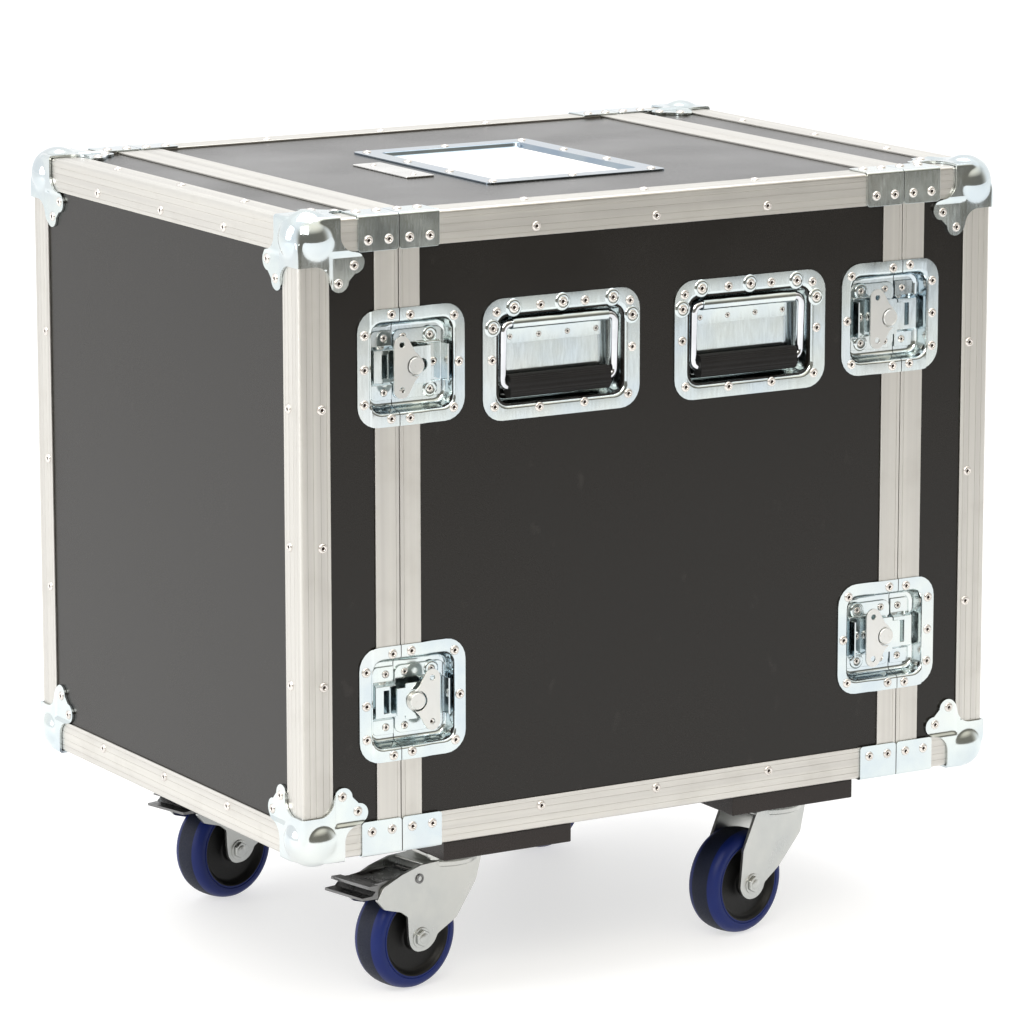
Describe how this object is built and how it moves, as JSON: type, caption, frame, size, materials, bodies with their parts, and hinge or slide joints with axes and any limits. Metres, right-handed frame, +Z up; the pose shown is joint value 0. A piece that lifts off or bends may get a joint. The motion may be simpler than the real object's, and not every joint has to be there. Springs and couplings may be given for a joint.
{
  "type": "rack flight case",
  "caption": "Rack flight case on swivel casters, open at both ends, with lift-off end covers, recessed butterfly latches, spring handles and ball corners.",
  "frame": {"origin": "middle of the case's footprint, on the floor under the wheels", "axes": "+X along the length towards the right end cover, +Y towards the back long face, +Z up"},
  "size_m": [0.75, 0.541, 0.7326],
  "materials": {
    "panel": "dark brown phenolic-faced plywood, satin",
    "profile": "brushed, clear anodised",
    "zinc": "bright zinc plating",
    "chrome": "polished",
    "tyre": "dark blue elastic rubber, satin",
    "pedal": "dark plated"
  },
  "bodies": {
    "body": {"body_top_panel": "panel", "body_bottom_panel": "panel", "body_front_panel": "panel", "body_back_panel": "panel", "body_edge_angle_front_top": "profile", "body_edge_angle_front_bottom": "profile", "body_edge_angle_back_top": "profile", "body_edge_angle_back_bottom": "profile", "body_closing_frame_left": "profile", "caster_board_left": "panel", "rack_rail_left_front": "zinc", "rack_rail_left_back": "zinc", "body_closing_frame_right": "profile", "caster_board_right": "panel", "rack_rail_right_front": "zinc", "rack_rail_right_back": "zinc", "label_dish": "zinc", "handle_dish_front_left": "zinc", "caster_plate_front_left": "zinc", "handle_dish_front_right": "zinc", "caster_plate_front_right": "zinc", "handle_dish_back_left": "zinc", "caster_plate_back_left": "zinc", "handle_dish_back_right": "zinc", "caster_plate_back_right": "zinc"},
    "lid_left": {"lid_shell_left": "panel", "lid_frame_left": "profile"},
    "lid_right": {"lid_shell_right": "panel", "lid_frame_right": "profile"},
    "bail_front_left": {"handle_bail_front_left": "chrome"},
    "wing_front_left_upper": {"latch_wing_front_left_upper": "zinc"},
    "hook_front_left_upper": {"latch_hook_front_left_upper": "zinc"},
    "wing_front_left_lower": {"latch_wing_front_left_lower": "zinc"},
    "hook_front_left_lower": {"latch_hook_front_left_lower": "zinc"},
    "fork_front_left": {"caster_fork_front_left": "zinc"},
    "wheel_front_left": {"caster_wheel_front_left": "tyre"},
    "pedal_front_left": {"brake_pedal_front_left": "pedal"},
    "bail_front_right": {"handle_bail_front_right": "chrome"},
    "wing_front_right_upper": {"latch_wing_front_right_upper": "zinc"},
    "hook_front_right_upper": {"latch_hook_front_right_upper": "zinc"},
    "wing_front_right_lower": {"latch_wing_front_right_lower": "zinc"},
    "hook_front_right_lower": {"latch_hook_front_right_lower": "zinc"},
    "fork_front_right": {"caster_fork_front_right": "zinc"},
    "wheel_front_right": {"caster_wheel_front_right": "tyre"},
    "bail_back_left": {"handle_bail_back_left": "chrome"},
    "wing_back_left_upper": {"latch_wing_back_left_upper": "zinc"},
    "hook_back_left_upper": {"latch_hook_back_left_upper": "zinc"},
    "wing_back_left_lower": {"latch_wing_back_left_lower": "zinc"},
    "hook_back_left_lower": {"latch_hook_back_left_lower": "zinc"},
    "fork_back_left": {"caster_fork_back_left": "zinc"},
    "wheel_back_left": {"caster_wheel_back_left": "tyre"},
    "pedal_back_left": {"brake_pedal_back_left": "pedal"},
    "bail_back_right": {"handle_bail_back_right": "chrome"},
    "wing_back_right_upper": {"latch_wing_back_right_upper": "zinc"},
    "hook_back_right_upper": {"latch_hook_back_right_upper": "zinc"},
    "wing_back_right_lower": {"latch_wing_back_right_lower": "zinc"},
    "hook_back_right_lower": {"latch_hook_back_right_lower": "zinc"},
    "fork_back_right": {"caster_fork_back_right": "zinc"},
    "wheel_back_right": {"caster_wheel_back_right": "tyre"}
  },
  "joints": [
    {"name": "lid_left_pull", "type": "slide", "parent": "body", "child": "lid_left", "axis": [-1, 0, 0], "range_m": [0, 0.14]},
    {"name": "lid_right_pull", "type": "slide", "parent": "body", "child": "lid_right", "axis": [1, 0, 0], "range_m": [0, 0.14]},
    {"name": "bail_front_left_swing", "type": "hinge", "parent": "body", "child": "bail_front_left", "pos_m": [-0.1007, -0.2573, 0.6176], "axis": [-1, 0, 0], "range_deg": [0, 90], "stiffness_Nm_per_rad": 0.4},
    {"name": "wing_front_left_upper_turn", "type": "hinge", "parent": "body", "child": "wing_front_left_upper", "pos_m": [-0.2529, -0.263, 0.5896], "axis": [0, 1, 0], "range_deg": [0, 180]},
    {"name": "hook_front_left_upper_draw", "type": "slide", "parent": "body", "child": "hook_front_left_upper", "axis": [-1, 0, 0], "range_m": [0, 0.008]},
    {"name": "wing_front_left_lower_turn", "type": "hinge", "parent": "body", "child": "wing_front_left_lower", "pos_m": [-0.2529, -0.263, 0.2871], "axis": [0, 1, 0], "range_deg": [0, 180]},
    {"name": "hook_front_left_lower_draw", "type": "slide", "parent": "body", "child": "hook_front_left_lower", "axis": [-1, 0, 0], "range_m": [0, 0.008]},
    {"name": "fork_front_left_swivel", "type": "hinge", "parent": "body", "child": "fork_front_left", "pos_m": [-0.179, -0.179, 0.118], "axis": [0, 0, 1], "continuous": true},
    {"name": "wheel_front_left_roll", "type": "hinge", "parent": "fork_front_left", "child": "wheel_front_left", "pos_m": [-0.22308, -0.18805, 0.05], "axis": [-0.2011, 0.9796, 0], "continuous": true},
    {"name": "pedal_front_left_press", "type": "hinge", "parent": "fork_front_left", "child": "pedal_front_left", "pos_m": [-0.22504, -0.18845, 0.106], "axis": [0.2011, -0.9796, 0], "range_deg": [0, 10], "stiffness_Nm_per_rad": 2},
    {"name": "bail_front_right_swing", "type": "hinge", "parent": "body", "child": "bail_front_right", "pos_m": [0.1007, -0.2573, 0.6176], "axis": [-1, 0, 0], "range_deg": [0, 90], "stiffness_Nm_per_rad": 0.4},
    {"name": "wing_front_right_upper_turn", "type": "hinge", "parent": "body", "child": "wing_front_right_upper", "pos_m": [0.2529, -0.263, 0.5896], "axis": [0, 1, 0], "range_deg": [0, 180]},
    {"name": "hook_front_right_upper_draw", "type": "slide", "parent": "body", "child": "hook_front_right_upper", "axis": [1, 0, 0], "range_m": [0, 0.008]},
    {"name": "wing_front_right_lower_turn", "type": "hinge", "parent": "body", "child": "wing_front_right_lower", "pos_m": [0.2529, -0.263, 0.2871], "axis": [0, 1, 0], "range_deg": [0, 180]},
    {"name": "hook_front_right_lower_draw", "type": "slide", "parent": "body", "child": "hook_front_right_lower", "axis": [1, 0, 0], "range_m": [0, 0.008]},
    {"name": "fork_front_right_swivel", "type": "hinge", "parent": "body", "child": "fork_front_right", "pos_m": [0.179, -0.179, 0.118], "axis": [0, 0, 1], "continuous": true},
    {"name": "wheel_front_right_roll", "type": "hinge", "parent": "fork_front_right", "child": "wheel_front_right", "pos_m": [0.13545, -0.19034, 0.05], "axis": [-0.2521, 0.9677, 0], "continuous": true},
    {"name": "bail_back_left_swing", "type": "hinge", "parent": "body", "child": "bail_back_left", "pos_m": [-0.1007, 0.2573, 0.6176], "axis": [1, 0, 0], "range_deg": [0, 90], "stiffness_Nm_per_rad": 0.4},
    {"name": "wing_back_left_upper_turn", "type": "hinge", "parent": "body", "child": "wing_back_left_upper", "pos_m": [-0.2529, 0.263, 0.5896], "axis": [0, 1, 0], "range_deg": [0, 180]},
    {"name": "hook_back_left_upper_draw", "type": "slide", "parent": "body", "child": "hook_back_left_upper", "axis": [-1, 0, 0], "range_m": [0, 0.008]},
    {"name": "wing_back_left_lower_turn", "type": "hinge", "parent": "body", "child": "wing_back_left_lower", "pos_m": [-0.2529, 0.263, 0.2871], "axis": [0, 1, 0], "range_deg": [0, 180]},
    {"name": "hook_back_left_lower_draw", "type": "slide", "parent": "body", "child": "hook_back_left_lower", "axis": [-1, 0, 0], "range_m": [0, 0.008]},
    {"name": "fork_back_left_swivel", "type": "hinge", "parent": "body", "child": "fork_back_left", "pos_m": [-0.179, 0.179, 0.118], "axis": [0, 0, 1], "continuous": true},
    {"name": "wheel_back_left_roll", "type": "hinge", "parent": "fork_back_left", "child": "wheel_back_left", "pos_m": [-0.2227, 0.16827, 0.05], "axis": [-0.2385, 0.9711, 0], "continuous": true},
    {"name": "pedal_back_left_press", "type": "hinge", "parent": "fork_back_left", "child": "pedal_back_left", "pos_m": [-0.22464, 0.16779, 0.106], "axis": [0.2385, -0.9711, 0], "range_deg": [0, 10], "stiffness_Nm_per_rad": 2},
    {"name": "bail_back_right_swing", "type": "hinge", "parent": "body", "child": "bail_back_right", "pos_m": [0.1007, 0.2573, 0.6176], "axis": [1, 0, 0], "range_deg": [0, 90], "stiffness_Nm_per_rad": 0.4},
    {"name": "wing_back_right_upper_turn", "type": "hinge", "parent": "body", "child": "wing_back_right_upper", "pos_m": [0.2529, 0.263, 0.5896], "axis": [0, 1, 0], "range_deg": [0, 180]},
    {"name": "hook_back_right_upper_draw", "type": "slide", "parent": "body", "child": "hook_back_right_upper", "axis": [1, 0, 0], "range_m": [0, 0.008]},
    {"name": "wing_back_right_lower_turn", "type": "hinge", "parent": "body", "child": "wing_back_right_lower", "pos_m": [0.2529, 0.263, 0.2871], "axis": [0, 1, 0], "range_deg": [0, 180]},
    {"name": "hook_back_right_lower_draw", "type": "slide", "parent": "body", "child": "hook_back_right_lower", "axis": [1, 0, 0], "range_m": [0, 0.008]},
    {"name": "fork_back_right_swivel", "type": "hinge", "parent": "body", "child": "fork_back_right", "pos_m": [0.179, 0.179, 0.118], "axis": [0, 0, 1], "continuous": true},
    {"name": "wheel_back_right_roll", "type": "hinge", "parent": "fork_back_right", "child": "wheel_back_right", "pos_m": [0.13515, 0.16888, 0.05], "axis": [-0.225, 0.9744, 0], "continuous": true}
  ],
  "couplings": [
    {"joint": "wing_front_left_upper_turn", "follows": "hook_front_left_upper_draw", "rad_per_m": 392.69},
    {"joint": "wing_front_left_lower_turn", "follows": "hook_front_left_lower_draw", "rad_per_m": 392.69},
    {"joint": "wing_front_right_upper_turn", "follows": "hook_front_right_upper_draw", "rad_per_m": 392.69},
    {"joint": "wing_front_right_lower_turn", "follows": "hook_front_right_lower_draw", "rad_per_m": 392.69},
    {"joint": "wing_back_left_upper_turn", "follows": "hook_back_left_upper_draw", "rad_per_m": 392.69},
    {"joint": "wing_back_left_lower_turn", "follows": "hook_back_left_lower_draw", "rad_per_m": 392.69},
    {"joint": "wing_back_right_upper_turn", "follows": "hook_back_right_upper_draw", "rad_per_m": 392.69},
    {"joint": "wing_back_right_lower_turn", "follows": "hook_back_right_lower_draw", "rad_per_m": 392.69}
  ]
}
